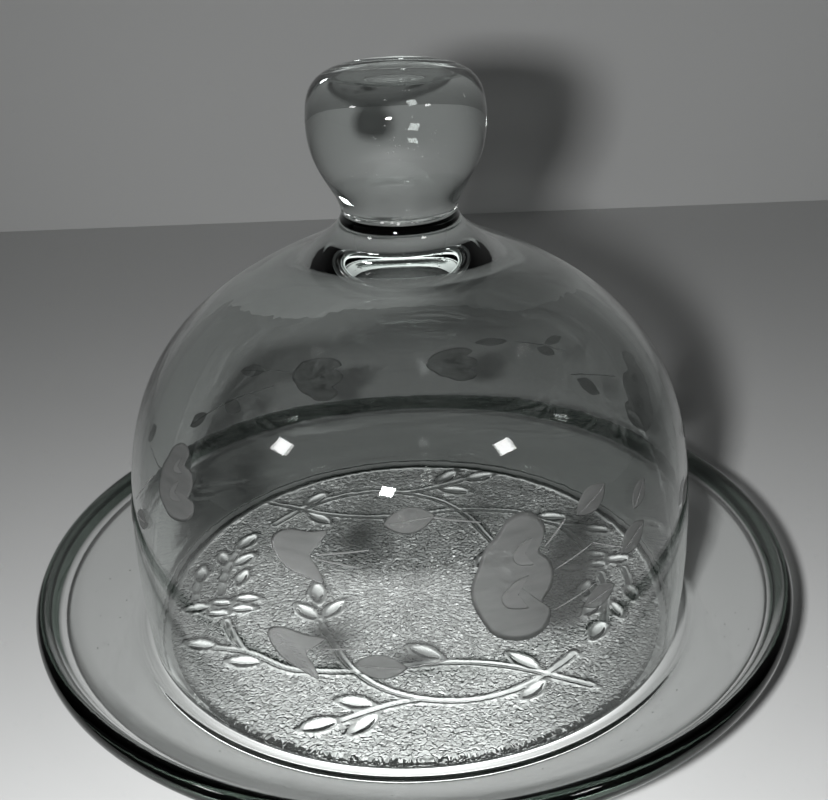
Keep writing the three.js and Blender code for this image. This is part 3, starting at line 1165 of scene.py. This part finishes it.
            # midrib: a vein cut in the lighter frost; its lighter tone is a painted highlight for the leaf's
            # two-tone shading
            angle, z, tilt, length, _ = place
            reach = self.midrib_share * length
            run, rise = reach * math.cos(math.radians(tilt)), reach * math.sin(math.radians(tilt))
            turn = math.degrees(run / self.bell.base_radius)
            self.add_stalk(stalks, angle - turn, z - rise, angle + turn, z + rise, 0.9 * self.thickness)
        for place in self.leaf_pairs:
            self.add_patch(leaves, Motif.TWIN_LEAF, tuple(place))
        for line in self.stalks:
            self.add_stalk(stalks, *line)
        # light is the lighter frost: cut lines, with painted highlights on petal crescents and midribs
        frost, light = GROUND_FROST.material(), LINES_AND_HIGHLIGHT_FROST.material()
        for name, shells, finish in (
            ("engraved_blossoms", flowers, frost), ("engraved_petal_cuts_and_highlights", petal_cuts_and_highlights, light),
            ("engraved_leaves", leaves, frost), ("engraved_stalks", stalks, light),
        ):
            piece = shells.mesh_object(name, finish)
            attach(piece, "lid")
            log.info("%s: %d faces", name, len(piece.data.polygons))


@dataclass
class Weld:
    """Air caught where the hot knob was stuck to the crown: a ring of small bubbles."""

    z: float
    ring_radius: float = 12.5
    bubbles: int = 70
    smallest: float = 0.18
    largest: float = 0.75
    ring_spread: float = 1.3
    height_spread: float = 0.5
    seed: int = 11

    def dress(self) -> None:
        """Builds the bubbles, squashed spheres scattered along the ring, and ties them to the lid."""
        rng = np.random.default_rng(self.seed)
        shells = Shells()
        for _ in range(self.bubbles):
            a, r = rng.uniform(0, TURN), self.ring_radius + rng.normal(0, self.ring_spread)
            size = self.smallest + (self.largest - self.smallest) * rng.random() ** 3
            centre = np.array([r * math.cos(a), r * math.sin(a), self.z + rng.normal(0, self.height_spread)])
            add_bubble(shells, centre, size, rng.uniform(0.55, 0.9))
        # white matte skins: painted glints in place of the flash off the bubbles
        piece = shells.mesh_object("weld_bubbles", WELD_AIR_PAINTED_GLINT.material())
        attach(piece, "lid")
        log.info("weld_bubbles: %d faces", len(piece.data.polygons))


# ----------------------------------------------------------------------------- studio


@dataclass
class Studio:
    """Pale table, pale wall, soft lamps and the camera, in metres and degrees.

    The table lies a hair below the foot, so that the two faces never coincide.
    """

    wall_distance: float = 0.408
    reach: float = 3.0
    lens: float = 56.52
    eye: tuple[float, float, float] = (0.0, -0.3712, 0.2654)
    pan: float = 0.349
    dip: float = 26.865
    roll: float = -2.089
    table_shade: float = 0.62
    wall_shade: float = 0.6
    drop: float = 5e-5
    face_gap: float = 0.001

    def ground_material(self, name: str, shade: float, one_sided: bool) -> bpy.types.Material:
        """A matte painted ground with faint mottling, open from behind when it is one-sided.

        Args:
            name: name of the material.
            shade: base grey.
            one_sided: let the camera see through the back of it.

        Returns:
            The material.
        """
        mat, nodes, links = new_material(name)
        skin, out = nodes["Principled BSDF"], nodes["Material Output"]
        skin.inputs["Roughness"].default_value = 0.75
        skin.inputs["Specular IOR Level"].default_value = 0.2
        place, mottle, tone = (
            nodes.new("ShaderNodeTexCoord"), nodes.new("ShaderNodeTexNoise"), nodes.new("ShaderNodeValToRGB"),
        )
        mottle.inputs["Scale"].default_value = 6.0
        tone.color_ramp.elements[0].color = (shade * 0.97, shade * 0.985, shade * 0.98, 1.0)
        tone.color_ramp.elements[1].color = (shade * 1.0, shade * 1.01, shade * 1.005, 1.0)
        links.new(place.outputs["Object"], mottle.inputs["Vector"])
        links.new(mottle.outputs["Fac"], tone.inputs["Fac"])
        links.new(tone.outputs["Color"], skin.inputs["Base Color"])
        if one_sided:
            side, open_back, choose = (
                nodes.new("ShaderNodeNewGeometry"), nodes.new("ShaderNodeBsdfTransparent"),
                nodes.new("ShaderNodeMixShader"),
            )
            links.new(side.outputs["Backfacing"], choose.inputs[0])
            links.new(skin.outputs[0], choose.inputs[1])
            links.new(open_back.outputs[0], choose.inputs[2])
            links.new(choose.outputs[0], out.inputs["Surface"])
        return mat

    def sheet(self, name: str, corners: list[tuple[float, float, float]],
              material: bpy.types.Material) -> None:
        """A flat four-cornered stage piece.

        Args:
            name: name of the object.
            corners: its corners, anticlockwise from the side that shows.
            material: its finish.
        """
        mesh = bpy.data.meshes.new(name)
        mesh.from_pydata(corners, [], [(0, 1, 2, 3)])
        mesh.materials.append(material)
        obj = bpy.data.objects.new(name, mesh)
        bpy.context.scene.collection.objects.link(obj)

    def face_material(self, name: str, radiance: float) -> bpy.types.Material:
        """The glowing face of a lamp, which shows in reflections but lights no matte surface.

        Light that has left a matte surface has a diffuse depth above zero and finds it dark, so
        the lamp itself is the only source of light and the glass casts no second, blotchy one.

        Args:
            name: name of the material.
            radiance: its brightness.

        Returns:
            The material.
        """
        mat, nodes, links = new_material(name)
        mat.cycles.emission_sampling = "NONE"
        nodes.clear()
        path, side = nodes.new("ShaderNodeLightPath"), nodes.new("ShaderNodeNewGeometry")
        fresh, hide, strength = (nodes.new("ShaderNodeMath") for _ in range(3))
        glow, open_back, choose, out = (
            nodes.new("ShaderNodeEmission"), nodes.new("ShaderNodeBsdfTransparent"),
            nodes.new("ShaderNodeMixShader"), nodes.new("ShaderNodeOutputMaterial"),
        )
        fresh.operation, hide.operation, strength.operation = "COMPARE", "MAXIMUM", "MULTIPLY"
        fresh.inputs[1].default_value, fresh.inputs[2].default_value = 0.0, 0.5
        strength.inputs[1].default_value = radiance
        links.new(path.outputs["Diffuse Depth"], fresh.inputs[0])
        links.new(fresh.outputs[0], strength.inputs[0])
        links.new(strength.outputs[0], glow.inputs["Strength"])
        links.new(path.outputs["Is Camera Ray"], hide.inputs[0])
        links.new(side.outputs["Backfacing"], hide.inputs[1])
        links.new(hide.outputs[0], choose.inputs[0])
        links.new(glow.outputs[0], choose.inputs[1])
        links.new(open_back.outputs[0], choose.inputs[2])
        links.new(choose.outputs[0], out.inputs["Surface"])
        return mat

    def lamp(self, name: str, place: tuple[float, float, float], aim: tuple[float, float, float],
             size: float, power: float, face_share: float) -> None:
        """A square soft lamp, and behind it the glowing face that glass mirrors.

        A square of side s that gives P watts has the radiance P / (pi s^2), which the face shows times its
        share: a bare bulb's face is dimmed, and a window that gives little light is made bright.

        Args:
            name: name of the lamp.
            place: where it hangs.
            aim: the point it faces.
            size: side of its square.
            power: in watts.
            face_share: brightness of the face against the lamp's own.
        """
        data = bpy.data.lights.new(name, "AREA")
        data.shape, data.size, data.energy = "SQUARE", size, power
        obj = bpy.data.objects.new(name, data)
        obj.location = place
        obj.rotation_mode = "QUATERNION"
        turn = (Vector(aim) - Vector(place)).to_track_quat("-Z", "Y")
        obj.rotation_quaternion = turn
        obj.visible_glossy = obj.visible_transmission = False
        bpy.context.scene.collection.objects.link(obj)
        axes = ((size / 2, 0, 0), (0, size / 2, 0), (0, 0, self.face_gap))
        right, up, back = (turn @ Vector(axis) for axis in axes)
        middle = Vector(place) + back
        corners = [middle + right - up, middle - right - up, middle - right + up, middle + right + up]
        glow = self.face_material(name + "_glow", face_share * power / (math.pi * size * size))
        self.sheet(name + "_face", [tuple(c) for c in corners], glow)

    def camera(self) -> None:
        """The camera: level axes turned by pan, dip and roll."""
        pan, dip, roll = (math.radians(v) for v in (self.pan, self.dip, self.roll))
        ahead = Vector((math.sin(pan) * math.cos(dip), math.cos(pan) * math.cos(dip), -math.sin(dip)))
        right = Vector((math.cos(pan), -math.sin(pan), 0.0))
        up = right.cross(ahead)
        side = math.cos(roll) * right + math.sin(roll) * up
        top = -math.sin(roll) * right + math.cos(roll) * up
        data = bpy.data.cameras.new("camera")
        data.lens, data.sensor_width = self.lens, 36.0
        data.clip_start, data.clip_end = 0.01, 20.0
        obj = bpy.data.objects.new("camera", data)
        obj.rotation_mode = "QUATERNION"
        turn = Matrix((side, top, -ahead)).transposed()
        obj.rotation_quaternion = turn.to_quaternion()
        obj.location = self.eye
        bpy.context.scene.collection.objects.link(obj)
        bpy.context.scene.camera = obj

    def build(self) -> None:
        """Sets the table, the wall, the lamps, the air's own light and the camera."""
        r, y, low = self.reach, self.wall_distance, -self.drop
        table = self.ground_material("pale_table", self.table_shade, False)
        wall = self.ground_material("pale_wall", self.wall_shade, True)
        self.sheet("table", [(-r, -r, low), (r, -r, low), (r, r, low), (-r, r, low)], table)
        self.sheet("wall", [(-r, y, low), (r, y, low), (r, y, r), (-r, y, r)], wall)
        self.lamp("key_lamp", (-0.06, -0.38, 0.265), (0.02, -0.22, 0.0), 0.036, 2.85, 0.4)
        self.lamp("left_lamp", (-0.85, -0.44, 0.80), (0.0, 0.0, 0.05), 0.13, 0.2, 3.5)
        self.lamp("right_lamp", (0.67, -0.62, 0.86), (0.0, 0.0, 0.05), 0.13, 0.2, 3.5)
        world = bpy.data.worlds.new("room")
        bpy.context.scene.world = world
        world.use_nodes = True
        world.node_tree.nodes["Background"].inputs["Color"].default_value = (0.035, 0.036, 0.036, 1.0)
        world.cycles_visibility.diffuse = False
        bpy.context.scene.view_settings.view_transform = "Standard"
        self.camera()
        log.info("studio set")


def main() -> None:
    """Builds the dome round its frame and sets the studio."""
    logging.basicConfig(level=logging.INFO, format="%(name)s %(message)s")
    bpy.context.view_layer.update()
    plate_low, plate_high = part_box("plate")
    bell_low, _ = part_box("dome_bell")
    _, knob_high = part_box("knob")
    bell = Bell(base_z=bell_low[2] / MM, top_z=knob_high[2] / MM)
    Plate(radius=plate_high[0] / MM, height=plate_high[2] / MM, vine=VineRelief()).dress()
    bell.dress()
    Engraving(bell).dress()
    Weld(z=bell.weld_z).dress()
    Studio().build()


if __name__ == "__main__":
    main()
